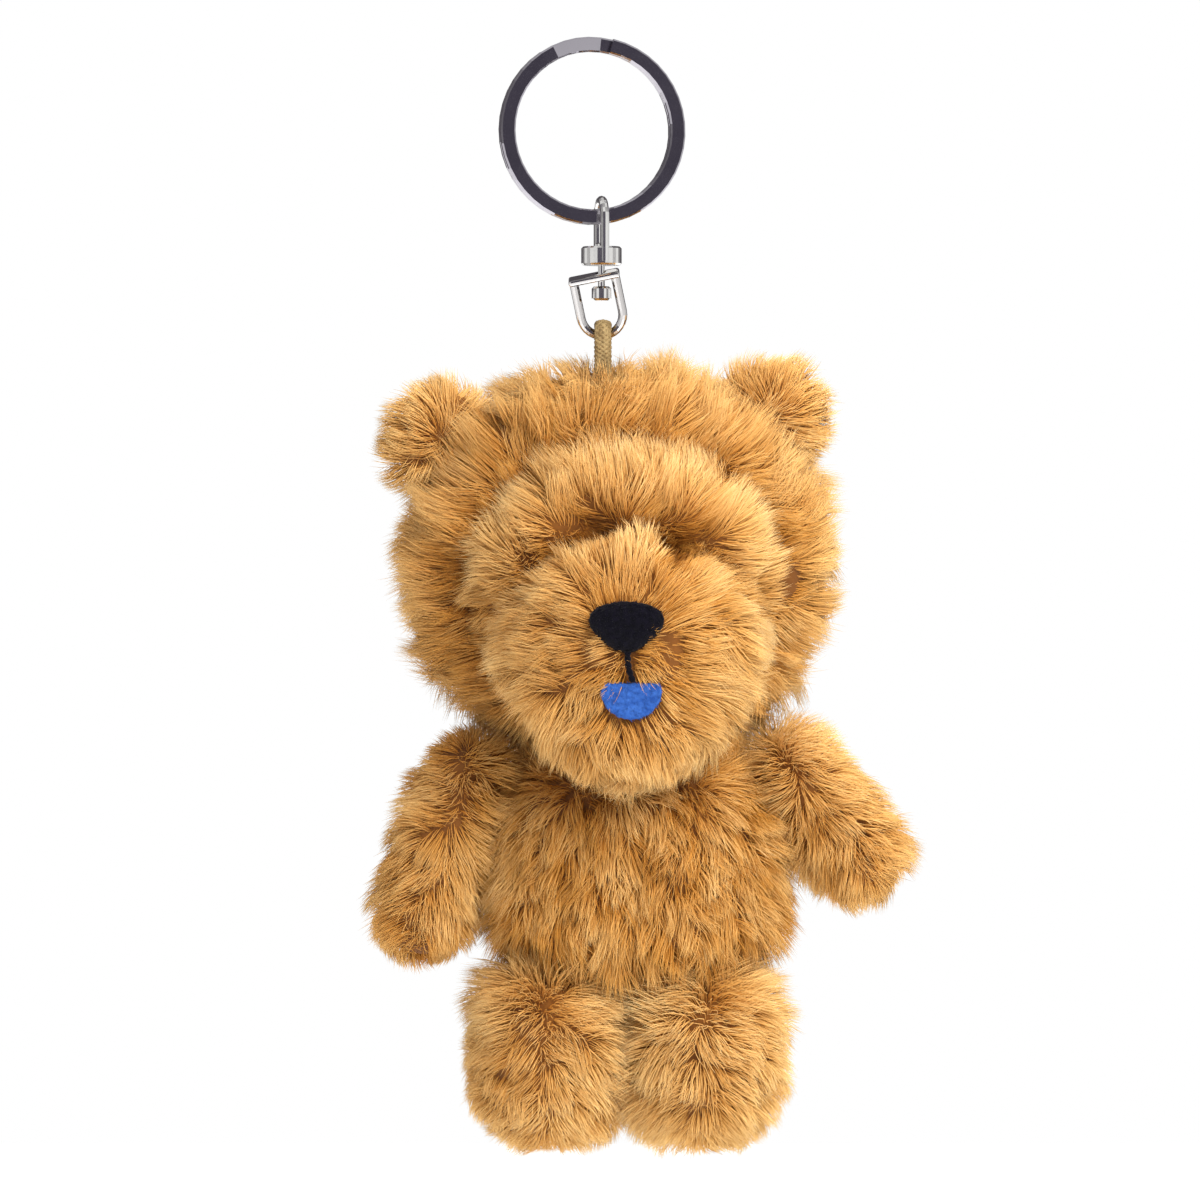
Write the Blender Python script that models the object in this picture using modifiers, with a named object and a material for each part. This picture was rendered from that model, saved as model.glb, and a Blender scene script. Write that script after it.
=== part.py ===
"""Plush bear keychain: split ring, swivel with shackle, cord loop and a stuffed bear.

The object hangs upright: +Z is up and the bear faces -Y. The origin is the point at the
inside top of the split ring where a hook or a key carries it, so everything hangs below.
Lengths are written in millimetres and turned into metres by MM.
"""

import math
from collections import namedtuple

import bmesh
import bpy
from mathutils import Matrix, Vector

MM = 0.001
FRONT = Vector((0, -1, 0))
GAP = 0.3  # round an opening, and between a panel and its stuffing
SEAM_GAP = 0.7  # at the outside of a seam, because the panels' inner edges lean together
METAL_GAP = 0.1

# Split ring: flat wire in two turns, one behind the other, with a jog at the top
RING_INNER_RADIUS = 10.5
WIRE_WIDTH = 2.0
WIRE_THICKNESS = 1.0
WIRE_CHAMFER = 0.22
TURN_SPACING = 1.15
JOG_START, JOG_END = 329.0, 370.0  # degrees clockwise from the top, seen from the front
FREE_END_CLEARANCE = 2.5
RING_STEPS = 84

# Swivel: a bow on the ring, its collar, and the riveted pin that the shackle turns on
PIN_X = 1.26
BOW_WIRE_RADIUS = 0.62
BOW_ARC_RADIUS = 2.25
HARDWARE_TURN = 11.0  # of the ring and the bow, about the pin's line
COLLAR_RADIUS = 2.7
COLLAR_TOP, COLLAR_BOTTOM = -25.9, -28.4
COLLAR_CHAMFER = 0.25
PIN_RADIUS = 0.45
RIVET_RADIUS = 0.95
PIN_HEAD_RADIUS = 1.3
PIN_HEAD_CHAMFER = 0.3
PIN_HEAD_TOP, PIN_HEAD_BOTTOM = -31.2, -33.1

# Shackle: a cross plate with a hole for the pin, and a wire bow below it
PLATE_Z = -29.8
PLATE_SIZE = (6.9, 3.6, 0.9)
PLATE_OFFSET = -1.0
PLATE_HOLE_RADIUS = 0.75
SHACKLE_WIRE_RADIUS = 0.6
SHACKLE_HALF_WIDTH = 2.8
SHACKLE_LEG = 5.15
SHACKLE_PITCH, SHACKLE_ROLL = 12.0, -11.5

# Cord: one flat braided length folded over the shackle, both ends knotted in the head
CORD_WIDTH, CORD_THICKNESS = 2.5, 1.5
CORD_SIDE = 0.2  # of the pin's line
CORD_END_Z = -45.2
CROWN_Z = -43.0
CORD_CROWN_SPACING = 0.87
KNOT_Z = -47.7
KNOT_RADII = (2.4, 2.2, 2.0)
POCKET_CLEARANCE = 1.1
CROWN_HOLE_HALF = (1.9, 2.3)

# Stuffed forms: centre, half sizes, half length added along the form's own Z, tilt about Y
Form = namedtuple("Form", "centre radii half_length tilt segments")
PILE_FABRIC = 1.2
HEAD = Form((3.5, 4.4, -67.5), (27.2, 17.5, 25.5), 0, 0, 32)
FACE = Form((4.4, -10.0, -73.0), (17.8, 9.0, 17.8), 0, 0, 28)
MUZZLE = Form((5.0, -16.0, -79.6), (14.8, 7.8, 13.7), 0, 0, 24)
TORSO = Form((6.0, 3.5, -108.3), (17.4, 13.0, 8.7), 5.9, 0, 28)
LEFT_ARM = Form((-19.4, 3.0, -105.9), (5.7, 6.2, 5.7), 9.2, 19.0, 16)
RIGHT_ARM = Form((31.1, 3.0, -101.6), (5.4, 6.0, 5.4), 6.3, -38.0, 16)
LEFT_LEG = Form((-6.1, 2.5, -133.7), (9.2, 9.4, 9.2), 2.2, 0, 20)
RIGHT_LEG = Form((14.9, 2.5, -134.0), (9.3, 9.4, 9.2), 1.6, 0, 20)
LEFT_EAR = Form((-19.8, 3.0, -51.6), (6.7, 2.9, 6.7), 0, -33.0, 20)
RIGHT_EAR = Form((23.6, 3.0, -48.9), (6.9, 2.9, 6.9), 0, 33.0, 20)
CROWN_SEAM_Y = 1.67
HEAD_BOTTOM_Z = -92.5
TORSO_TOP_Z = -94.1
EAR_CLEARANCE = 0.8

# Features on the muzzle
NOSE_CENTRE = (4.5, -25.5, -76.4)
NOSE_HALF = (4.7, 1.6, 3.3)
NOSE_TAPER = 0.32
MOUTH_TOP = (4.65, -25.2, -80.3)
MOUTH_BOTTOM = (5.4, -25.0, -82.9)
MOUTH_BOW = 0.25
THREAD_RADIUS = 0.35
TONGUE_TOP = (5.1, -25.0, -83.3)
TONGUE_HALF_WIDTH = 3.85
TONGUE_DROP = 5.0
TONGUE_CORNER = 1.5
TONGUE_THICKNESS = 1.0
TONGUE_LEAN = 10.0


# ---------------------------------------------------------------- scene and materials

def clear_scene():
    for item in list(bpy.data.objects):
        bpy.data.objects.remove(item)


def new_collection(name):
    collection = bpy.data.collections.new(name)
    bpy.context.scene.collection.children.link(collection)
    return collection


def new_material(name, colour, roughness, metallic=0.0):
    material = bpy.data.materials.new(name)
    material.use_nodes = True
    shader = material.node_tree.nodes["Principled BSDF"]
    shader.inputs["Base Color"].default_value = (*colour, 1)
    shader.inputs["Roughness"].default_value = roughness
    shader.inputs["Metallic"].default_value = metallic
    return material


def place(name, data, material=None):
    """Makes an object of the part from finished mesh or curve data."""
    item = bpy.data.objects.new(name, data)
    parts.objects.link(item)
    if material:
        data.materials.append(material)
    return item


def place_guide(name, data):
    """Makes a cutter or guide, which isn't a piece of the object."""
    item = bpy.data.objects.new(name, data)
    item.hide_render = True
    item.display_type = "WIRE"
    guides.objects.link(item)
    return item


def smooth(data):
    data.shade_smooth()
    data.set_sharp_from_angle(angle=math.radians(40))


def boolean(item, cutter, operation="DIFFERENCE"):
    modifier = item.modifiers.new(f"{operation.lower()}_{cutter.name}", "BOOLEAN")
    modifier.object = cutter
    modifier.operation = operation
    modifier.solver = "EXACT"


# ---------------------------------------------------------------- shapes

def mesh_from(bm, name):
    mesh = bpy.data.meshes.new(name)
    bm.to_mesh(mesh)
    bm.free()
    smooth(mesh)
    return mesh


def form_bmesh(form, grow=0.0):
    """A stuffed form as a closed round body: an ellipsoid, drawn out along its own Z."""
    bm = bmesh.new()
    bmesh.ops.create_uvsphere(
        bm, u_segments=form.segments, v_segments=form.segments // 2, radius=1.0
    )
    half_sizes = [radius + grow for radius in form.radii]
    for vert in bm.verts:
        end = 0.0 if abs(vert.co.z) < 1e-4 else math.copysign(form.half_length, vert.co.z)
        vert.co = Vector(a * b for a, b in zip(vert.co, half_sizes)) + Vector((0, 0, end))
    turn = Matrix.Rotation(math.radians(form.tilt), 4, "Y")
    bmesh.ops.transform(bm, matrix=Matrix.Translation(form.centre) @ turn, verts=bm.verts)
    bmesh.ops.scale(bm, vec=(MM, MM, MM), verts=bm.verts)
    return bm


def trim(bm, point, outward):
    """Cuts away everything past the plane through point, in millimetres."""
    bmesh.ops.bisect_plane(
        bm,
        geom=bm.verts[:] + bm.edges[:] + bm.faces[:],
        plane_co=Vector(point) * MM,
        plane_no=Vector(outward),
        clear_outer=True,
    )


def close(bm):
    """Closes a trimmed body with flat faces."""
    bmesh.ops.holes_fill(bm, edges=[edge for edge in bm.edges if edge.is_boundary], sides=0)
    bmesh.ops.recalc_face_normals(bm, faces=bm.faces[:])


def panel(name, form, planes, material):
    """One sewn panel of pile fabric: the part of a form's surface inside the planes."""
    bm = form_bmesh(form)
    for point, outward in planes:
        trim(bm, point, outward)
    item = place(name, mesh_from(bm, name), material)
    shell = item.modifiers.new("fabric", "SOLIDIFY")
    shell.thickness = PILE_FABRIC * MM
    shell.offset = -1
    shell.use_even_offset = True
    return item


def stuffing(name, form, planes, material):
    """The fibre inside a form, clear of its panels."""
    bm = form_bmesh(form, -PILE_FABRIC - GAP)
    for point, outward in planes:
        trim(bm, point, outward)
    close(bm)
    return place(name, mesh_from(bm, name), material)


def form_cutter(name, form, grow):
    return place_guide(name, mesh_from(form_bmesh(form, grow), name))


def box_mesh(name, size, centre, bevel=0.0):
    bm = bmesh.new()
    bmesh.ops.create_cube(bm, size=1.0)
    bmesh.ops.scale(bm, vec=Vector(size) * MM, verts=bm.verts)
    if bevel:
        bmesh.ops.bevel(
            bm,
            geom=bm.edges[:],
            offset=bevel * MM,
            segments=3,
            profile=0.5,
            affect="EDGES",
        )
    bmesh.ops.translate(bm, vec=Vector(centre) * MM, verts=bm.verts)
    return mesh_from(bm, name)


def cylinder_mesh(name, radii, z_low, z_high, centre, segments=24):
    """An upright round or oval cylinder."""
    bm = bmesh.new()
    bmesh.ops.create_cone(
        bm, cap_ends=True, segments=segments, radius1=1, radius2=1, depth=z_high - z_low
    )
    bmesh.ops.scale(bm, vec=(radii[0], radii[1], 1), verts=bm.verts)
    middle = Vector((centre[0], centre[1], (z_low + z_high) / 2))
    bmesh.ops.translate(bm, vec=middle, verts=bm.verts)
    bmesh.ops.scale(bm, vec=(MM, MM, MM), verts=bm.verts)
    return mesh_from(bm, name)


def turned(name, profile, material, segments=24):
    """A lathe shape: the profile runs down the outer side, top to bottom, from axis to axis."""
    mesh = bpy.data.meshes.new(name)
    points = [(radius * MM, 0, z * MM) for radius, z in profile]
    mesh.from_pydata(points, [(i, i + 1) for i in range(len(points) - 1)], [])
    item = place(name, mesh, material)
    screw = item.modifiers.new("lathe", "SCREW")
    screw.steps = segments
    screw.render_steps = segments
    screw.use_merge_vertices = True
    screw.merge_threshold = 0.00001
    screw.use_smooth_shade = True
    return item


def poly_curve(name, points, cyclic=False, dimensions="3D"):
    data = bpy.data.curves.new(name, "CURVE")
    data.dimensions = dimensions
    spline = data.splines.new("POLY")
    spline.points.add(len(points) - 1)
    for spot, point in zip(spline.points, points):
        spot.co = (*(value * MM for value in point), 1)
    spline.use_cyclic_u = cyclic
    return data


def curve_to_mesh(name, data, material=None):
    """A curve's swept body as a mesh object, with its end caps welded on."""
    curve = place_guide(f"{name}_curve", data)
    bpy.context.view_layer.update()
    depsgraph = bpy.context.evaluated_depsgraph_get()
    mesh = bpy.data.meshes.new_from_object(curve.evaluated_get(depsgraph))
    mesh.name = name
    bm = bmesh.new()
    bm.from_mesh(mesh)
    bmesh.ops.remove_doubles(bm, verts=bm.verts, dist=0.002 * MM)
    bmesh.ops.recalc_face_normals(bm, faces=bm.faces[:])
    bm.to_mesh(mesh)
    bm.free()
    smooth(mesh)
    mesh.materials.clear()
    item = place(name, mesh, material)
    item.matrix_world = curve.matrix_world
    bpy.data.objects.remove(curve)
    return item


def wire(name, points, radius, material=None, resolution=4):
    data = poly_curve(name, points)
    data.bevel_depth = radius * MM
    data.bevel_resolution = resolution
    data.use_fill_caps = True
    return curve_to_mesh(name, data, material)


def arc(centre, radius, start, end, steps):
    """Points (a, b) round a centre, from the start angle to the end angle in degrees."""
    found = []
    for step in range(steps + 1):
        angle = math.radians(start + (end - start) * step / steps)
        found.append(
            (centre[0] + radius * math.cos(angle), centre[1] + radius * math.sin(angle))
        )
    return found


def make_guide(item):
    """Turns a finished piece into a cutter or joining body."""
    parts.objects.unlink(item)
    guides.objects.link(item)
    item.hide_render = True
    item.display_type = "WIRE"
    return item


# ---------------------------------------------------------------- hardware

def ring_depth(angle):
    """How far the wire lies in front of the ring's middle at this angle of its run."""
    share = min(max((angle - JOG_START) / (JOG_END - JOG_START), 0.0), 1.0)
    share = share * share * (3 - 2 * share)
    return TURN_SPACING * (0.5 - share)


def hardware_turn():
    """The pin's line, turned about itself as the ring and the bow hang."""
    turn = Matrix.Rotation(math.radians(HARDWARE_TURN), 4, "Z")
    return Matrix.Translation((PIN_X * MM, 0, 0)) @ turn


def make_split_ring():
    """The ring is drawn flat, with its front up, and then stood upright."""
    first = JOG_END - 360 + FREE_END_CLEARANCE
    last = JOG_START + 360 - FREE_END_CLEARANCE
    middle_radius = RING_INNER_RADIUS + WIRE_WIDTH / 2
    points = []
    for step in range(RING_STEPS + 1):
        angle = first + (last - first) * step / RING_STEPS
        turn = math.radians(angle)
        points.append(
            (middle_radius * math.sin(turn), middle_radius * math.cos(turn), ring_depth(angle))
        )
    width, thickness = WIRE_WIDTH / 2, WIRE_THICKNESS / 2
    corner_w, corner_t = width - WIRE_CHAMFER, thickness - WIRE_CHAMFER
    outline = [
        (width, -corner_t, 0),
        (width, corner_t, 0),
        (corner_w, thickness, 0),
        (-corner_w, thickness, 0),
        (-width, corner_t, 0),
        (-width, -corner_t, 0),
        (-corner_w, -thickness, 0),
        (corner_w, -thickness, 0),
    ]
    section = place_guide("ring_section", poly_curve("ring_section", outline, cyclic=True))
    data = poly_curve("split_ring", points)
    data.twist_mode = "Z_UP"
    data.bevel_mode = "OBJECT"
    data.bevel_object = section
    data.use_fill_caps = True
    ring = curve_to_mesh("split_ring", data, steel)
    centre = Matrix.Translation(Vector((-PIN_X, 0, -RING_INNER_RADIUS)) * MM)
    ring.matrix_world = hardware_turn() @ centre @ Matrix.Rotation(math.radians(90), 4, "X")


def make_swivel_bow():
    """The cast bow and collar that hang on the ring, bored for the pin."""
    axis_z = -2 * RING_INNER_RADIUS - WIRE_WIDTH / 2
    leg_end = COLLAR_BOTTOM + 0.5
    crown = arc((0, axis_z), BOW_ARC_RADIUS, 180, 0, 14)
    path = [(-BOW_ARC_RADIUS, leg_end), *crown, (BOW_ARC_RADIUS, leg_end)]
    bow = wire("swivel_bow", [(0, y, z) for y, z in path], BOW_WIRE_RADIUS, nickel)
    bow.matrix_world = hardware_turn()
    collar = turned(
        "collar_body",
        [
            (0, COLLAR_TOP),
            (COLLAR_RADIUS - COLLAR_CHAMFER, COLLAR_TOP),
            (COLLAR_RADIUS, COLLAR_TOP - COLLAR_CHAMFER),
            (COLLAR_RADIUS, COLLAR_BOTTOM + COLLAR_CHAMFER),
            (COLLAR_RADIUS - COLLAR_CHAMFER, COLLAR_BOTTOM),
            (0, COLLAR_BOTTOM),
        ],
        nickel,
        32,
    )
    collar.location.x = PIN_X * MM
    boolean(bow, make_guide(collar), "UNION")
    bore_radius = PIN_RADIUS + METAL_GAP
    bore = cylinder_mesh(
        "pin_bore", (bore_radius, bore_radius), COLLAR_BOTTOM - 1, COLLAR_TOP + 0.6, (PIN_X, 0)
    )
    boolean(bow, place_guide("pin_bore", bore))


def make_swivel_pin():
    """The pin: riveted over the collar, with a round dished head under the shackle's plate."""
    seat = COLLAR_TOP + METAL_GAP
    edge = PIN_HEAD_RADIUS - PIN_HEAD_CHAMFER
    pin = turned(
        "swivel_pin",
        [
            (0, seat + 0.5),
            (RIVET_RADIUS * 0.6, seat + 0.42),
            (RIVET_RADIUS, seat + 0.2),
            (RIVET_RADIUS, seat),
            (PIN_RADIUS, seat),
            (PIN_RADIUS, PIN_HEAD_TOP),
            (edge, PIN_HEAD_TOP),
            (PIN_HEAD_RADIUS, PIN_HEAD_TOP - PIN_HEAD_CHAMFER),
            (PIN_HEAD_RADIUS, PIN_HEAD_BOTTOM + PIN_HEAD_CHAMFER),
            (edge, PIN_HEAD_BOTTOM),
            (0, PIN_HEAD_BOTTOM + PIN_HEAD_CHAMFER),
        ],
        nickel,
    )
    pin.location.x = PIN_X * MM


def shackle_frame():
    """Where the shackle hangs: tipped on its loose hole about the pin."""
    pitch = Matrix.Rotation(math.radians(SHACKLE_PITCH), 4, "X")
    roll = Matrix.Rotation(math.radians(SHACKLE_ROLL), 4, "Y")
    return Matrix.Translation(Vector((PIN_X, 0, PLATE_Z)) * MM) @ pitch @ roll


def make_shackle():
    """The wire bow with its cross plate, drawn about the middle of the plate's hole."""
    bottom = arc((PLATE_OFFSET, -SHACKLE_LEG), SHACKLE_HALF_WIDTH, 180, 360, 16)
    left = (PLATE_OFFSET - SHACKLE_HALF_WIDTH, 0)
    right = (PLATE_OFFSET + SHACKLE_HALF_WIDTH, 0)
    path = [(x, 0, z) for x, z in [left, *bottom, right]]
    shackle = wire("shackle", path, SHACKLE_WIRE_RADIUS, nickel)
    plate = box_mesh("plate", PLATE_SIZE, (PLATE_OFFSET, 0, 0), 0.35)
    plate_body = place_guide("plate", plate)
    hole = cylinder_mesh("plate_hole", (PLATE_HOLE_RADIUS, PLATE_HOLE_RADIUS), -2, 2, (0, 0))
    hole_body = place_guide("plate_hole", hole)
    for item in (shackle, plate_body, hole_body):
        item.matrix_world = shackle_frame()
    boolean(shackle, plate_body, "UNION")
    boolean(shackle, hole_body)


# ---------------------------------------------------------------- cord

def cord_pivot():
    """The middle of the shackle's wire at its lowest point, in millimetres."""
    low = Vector((PLATE_OFFSET, 0, -SHACKLE_LEG - SHACKLE_HALF_WIDTH)) * MM
    return (shackle_frame() @ low) / MM


def make_cord():
    pivot = cord_pivot()
    fold_radius = SHACKLE_WIRE_RADIUS + METAL_GAP + CORD_THICKNESS / 2
    x = PIN_X + CORD_SIDE
    fold = arc((pivot.y, pivot.z), fold_radius, 0, 180, 14)
    strand = [
        (CORD_CROWN_SPACING, CORD_END_Z),
        (CORD_CROWN_SPACING, (CORD_END_Z + CROWN_Z) / 2),
        (CORD_CROWN_SPACING + 0.03, CROWN_Z + 0.6),
        ((CORD_CROWN_SPACING + fold_radius) / 2, pivot.z - 2.2),
        (fold_radius - 0.08, pivot.z - 0.8),
    ]
    rear = [(pivot.y + side, z) for side, z in strand]
    front = [(pivot.y - side, z) for side, z in reversed(strand)]
    section = [
        (CORD_WIDTH / 2 * math.cos(angle), CORD_THICKNESS / 2 * math.sin(angle), 0)
        for angle in [math.radians(30 * step) for step in range(12)]
    ]
    outline = place_guide("cord_section", poly_curve("cord_section", section, cyclic=True))
    data = poly_curve("cord_loop", [(x, y, z) for y, z in [*rear, *fold, *front]])
    data.twist_mode = "MINIMUM"
    data.bevel_mode = "OBJECT"
    data.bevel_object = outline
    data.use_fill_caps = True
    curve_to_mesh("cord_loop", data, cord_fabric)
    knot = Form((x, pivot.y, KNOT_Z), KNOT_RADII, 0, 0, 16)
    place("cord_knot", mesh_from(form_bmesh(knot), "cord_knot"), cord_fabric)


def crown_cutters():
    """The slot that the cord passes through at the crown, and the knot's pocket."""
    centre = (PIN_X + CORD_SIDE, cord_pivot().y)
    slot = cylinder_mesh("crown_slot", CROWN_HOLE_HALF, KNOT_Z, CROWN_Z + 4, centre)
    pocket = Form((*centre, KNOT_Z), KNOT_RADII, 0, 0, 16)
    return (
        place_guide("crown_slot", slot),
        form_cutter("knot_pocket", pocket, POCKET_CLEARANCE),
    )


# ---------------------------------------------------------------- bear

def both_sides(form, outward):
    """Two planes that leave the usual gap at a seam through a form's middle."""
    outward = Vector(outward)
    middle = Vector(form.centre)
    return (
        (middle - outward * SEAM_GAP / 2, outward),
        (middle + outward * SEAM_GAP / 2, -outward),
    )


def make_head():
    slot, pocket = crown_cutters()
    neck = ((0, 0, HEAD_BOTTOM_Z), (0, 0, -1))
    front_seam = ((0, CROWN_SEAM_Y - SEAM_GAP / 2, 0), (0, 1, 0))
    back_seam = ((0, CROWN_SEAM_Y + SEAM_GAP / 2, 0), (0, -1, 0))
    left_of, right_of = both_sides(HEAD, (1, 0, 0))
    head_front = panel("head_front", HEAD, [neck, front_seam], golden_pile)
    boolean(head_front, form_cutter("face_opening", FACE, GAP))
    boolean(head_front, slot)
    for name, side in (("head_back_left", left_of), ("head_back_right", right_of)):
        boolean(panel(name, HEAD, [neck, back_seam, side], golden_pile), slot)

    face_back = ((0, FACE.centre[1] + 5, 0), (0, 1, 0))
    face = panel("face_panel", FACE, [face_back], golden_pile)
    boolean(face, form_cutter("head_inside", HEAD, -PILE_FABRIC))
    boolean(face, form_cutter("muzzle_opening", MUZZLE, GAP))
    muzzle_back = ((0, MUZZLE.centre[1] + 4, 0), (0, 1, 0))
    muzzle = panel("muzzle_panel", MUZZLE, [muzzle_back], golden_pile)
    boolean(muzzle, form_cutter("face_inside", FACE, -PILE_FABRIC))

    fill = stuffing("head_fill", HEAD, [neck], fibre)
    inset = -PILE_FABRIC - GAP
    boolean(fill, form_cutter("face_fill", FACE, inset), "UNION")
    boolean(fill, form_cutter("muzzle_fill", MUZZLE, inset), "UNION")
    boolean(fill, pocket)
    boolean(fill, slot)


def make_ear(side, form, head_clearance):
    """Two pile pads sewn round their edge, set on the head's seam."""
    seams = both_sides(form, (0, 1, 0))
    for name, seam in ((f"{side}_ear_front", seams[0]), (f"{side}_ear_back", seams[1])):
        bm = form_bmesh(form)
        trim(bm, *seam)
        close(bm)
        ear = place(name, mesh_from(bm, name), golden_pile)
        boolean(ear, head_clearance)


def make_torso():
    neck = ((0, 0, TORSO_TOP_Z), (0, 0, 1))
    front, back = both_sides(TORSO, (0, 1, 0))
    left_of, right_of = both_sides(TORSO, (1, 0, 0))
    panel("torso_front", TORSO, [neck, front], golden_pile)
    panel("torso_back_left", TORSO, [neck, back, left_of], golden_pile)
    panel("torso_back_right", TORSO, [neck, back, right_of], golden_pile)
    stuffing("torso_fill", TORSO, [neck], fibre)


def make_limb(name, form, inner_side):
    """A limb of two panels with seams down its front and back, and its stuffing."""
    across = Matrix.Rotation(math.radians(form.tilt), 3, "Y") @ Vector((inner_side, 0, 0))
    outer, inner = both_sides(form, across)
    panel(f"{name}_outer", form, [outer], golden_pile)
    panel(f"{name}_inner", form, [inner], golden_pile)
    stuffing(f"{name}_fill", form, [], fibre)


def make_nose():
    """A flocked pad, wide at the top and drawn in towards the mouth."""
    bm = bmesh.new()
    bmesh.ops.create_uvsphere(bm, u_segments=24, v_segments=12, radius=1.0)
    for vert in bm.verts:
        vert.co.x *= 1 + NOSE_TAPER * vert.co.z
    bmesh.ops.scale(bm, vec=Vector(NOSE_HALF) * MM, verts=bm.verts)
    bmesh.ops.translate(bm, vec=Vector(NOSE_CENTRE) * MM, verts=bm.verts)
    place("nose", mesh_from(bm, "nose"), black_felt)


def make_mouth():
    """A dark thread from the nose down to the tongue, bowed a little to one side."""
    steps = 6
    start, end = Vector(MOUTH_TOP), Vector(MOUTH_BOTTOM)
    points = []
    for step in range(steps + 1):
        share = step / steps
        bow = Vector((-MOUTH_BOW * math.sin(math.pi * share), 0, 0))
        points.append(start.lerp(end, share) + bow)
    wire("mouth_stitch", points, THREAD_RADIUS, black_felt, 2)


def make_tongue():
    """A half disc of felt, flat at the top where it is sewn on, leaning with the chin."""
    corner = TONGUE_CORNER
    half_width = TONGUE_HALF_WIDTH
    lower = [
        (half_width * a, -corner + (TONGUE_DROP - corner) * b)
        for a, b in arc((0, 0), 1, 180, 360, 16)
    ]
    top_left = arc((-half_width + corner, -corner), corner, 180, 90, 6)
    top_right = arc((half_width - corner, -corner), corner, 90, 0, 6)
    outline = [(x, y, 0) for x, y in [*top_left, *top_right[:-1], *reversed(lower[1:])]]
    data = poly_curve("tongue", outline, cyclic=True, dimensions="2D")
    data.fill_mode = "BOTH"
    data.extrude = TONGUE_THICKNESS / 2 * MM
    tongue = curve_to_mesh("tongue", data, blue_felt)
    lean = Matrix.Rotation(math.radians(90 + TONGUE_LEAN), 4, "X")
    tongue.matrix_world = Matrix.Translation(Vector(TONGUE_TOP) * MM) @ lean


clear_scene()
parts = new_collection("plush_keychain")
guides = new_collection("cutters_and_guides")

steel = new_material("polished_steel", (0.42, 0.40, 0.43), 0.12, 1.0)
nickel = new_material("bright_nickel", (0.78, 0.77, 0.75), 0.1, 1.0)
cord_fabric = new_material("braided_cord", (0.30, 0.20, 0.09), 0.9)
golden_pile = new_material("golden_pile", (0.58, 0.29, 0.08), 0.95)
fibre = new_material("polyester_fibre", (0.85, 0.85, 0.82), 1.0)
black_felt = new_material("black_felt", (0.012, 0.012, 0.02), 0.95)
blue_felt = new_material("blue_felt", (0.03, 0.15, 0.62), 0.9)

make_split_ring()
make_swivel_bow()
make_swivel_pin()
make_shackle()
make_cord()
make_head()
head_clearance = form_cutter("head_clearance", HEAD, EAR_CLEARANCE)
make_ear("left", LEFT_EAR, head_clearance)
make_ear("right", RIGHT_EAR, head_clearance)
make_nose()
make_mouth()
make_tongue()
make_torso()
make_limb("left_arm", LEFT_ARM, 1)
make_limb("right_arm", RIGHT_ARM, -1)
make_limb("left_leg", LEFT_LEG, 1)
make_limb("right_leg", RIGHT_LEG, -1)
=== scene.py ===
import math
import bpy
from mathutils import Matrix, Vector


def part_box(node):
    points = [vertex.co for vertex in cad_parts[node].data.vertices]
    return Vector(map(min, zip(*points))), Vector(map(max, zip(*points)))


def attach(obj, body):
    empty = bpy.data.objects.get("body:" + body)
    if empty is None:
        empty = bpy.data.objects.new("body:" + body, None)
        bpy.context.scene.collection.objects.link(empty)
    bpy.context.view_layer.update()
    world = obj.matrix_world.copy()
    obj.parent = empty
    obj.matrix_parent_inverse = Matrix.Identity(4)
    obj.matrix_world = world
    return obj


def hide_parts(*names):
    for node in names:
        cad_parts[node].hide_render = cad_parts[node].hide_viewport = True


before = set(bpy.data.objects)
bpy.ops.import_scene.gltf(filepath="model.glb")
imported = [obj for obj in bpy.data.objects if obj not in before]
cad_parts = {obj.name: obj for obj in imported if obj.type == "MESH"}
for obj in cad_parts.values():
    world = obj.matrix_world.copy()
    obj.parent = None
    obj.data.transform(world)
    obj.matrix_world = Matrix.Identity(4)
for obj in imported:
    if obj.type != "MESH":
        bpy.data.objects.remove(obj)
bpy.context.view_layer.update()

from types import SimpleNamespace

import bmesh
import bpy
import numpy as np
from mathutils import Vector
from mathutils.kdtree import KDTree

MM = 0.001
SEED = 41

# ---------------------------------------------------------------- camera

VIEW_WIDTH = 159.6  # millimetres across the picture at the toy's middle
VIEW_CENTRE = (1.07, 0.0, -72.9)
CAMERA_DISTANCE = 950.0
SENSOR = 36.0


def add_camera():
    data = bpy.data.cameras.new("camera")
    data.sensor_width = SENSOR
    data.lens = SENSOR * CAMERA_DISTANCE / VIEW_WIDTH
    data.clip_end = 20
    camera = bpy.data.objects.new("camera", data)
    x, y, z = VIEW_CENTRE
    camera.location = Vector((x, y - CAMERA_DISTANCE, z)) * MM
    camera.rotation_euler = (math.radians(90), 0, 0)
    bpy.context.scene.collection.objects.link(camera)
    bpy.context.scene.camera = camera


# ---------------------------------------------------------------- node materials

def material(name, roughness=0.8, metallic=0.0):
    made = bpy.data.materials.new(name)
    made.use_nodes = True
    shader = made.node_tree.nodes["Principled BSDF"]
    shader.inputs["Roughness"].default_value = roughness
    shader.inputs["Metallic"].default_value = metallic
    return made, made.node_tree, shader


def node(tree, kind, values=None, **settings):
    made = tree.nodes.new(kind)
    for key, value in settings.items():
        setattr(made, key, value)
    for key, value in (values or {}).items():
        made.inputs[key].default_value = value
    return made


def ramp(tree, factor, stops):
    made = tree.nodes.new("ShaderNodeValToRGB")
    points = made.color_ramp.elements
    while len(points) < len(stops):
        points.new(1.0)
    for point, (position, colour) in zip(points, stops):
        point.position = position
        point.color = (*colour, 1)
    tree.links.new(factor, made.inputs["Fac"])
    return made.outputs["Color"]


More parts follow.
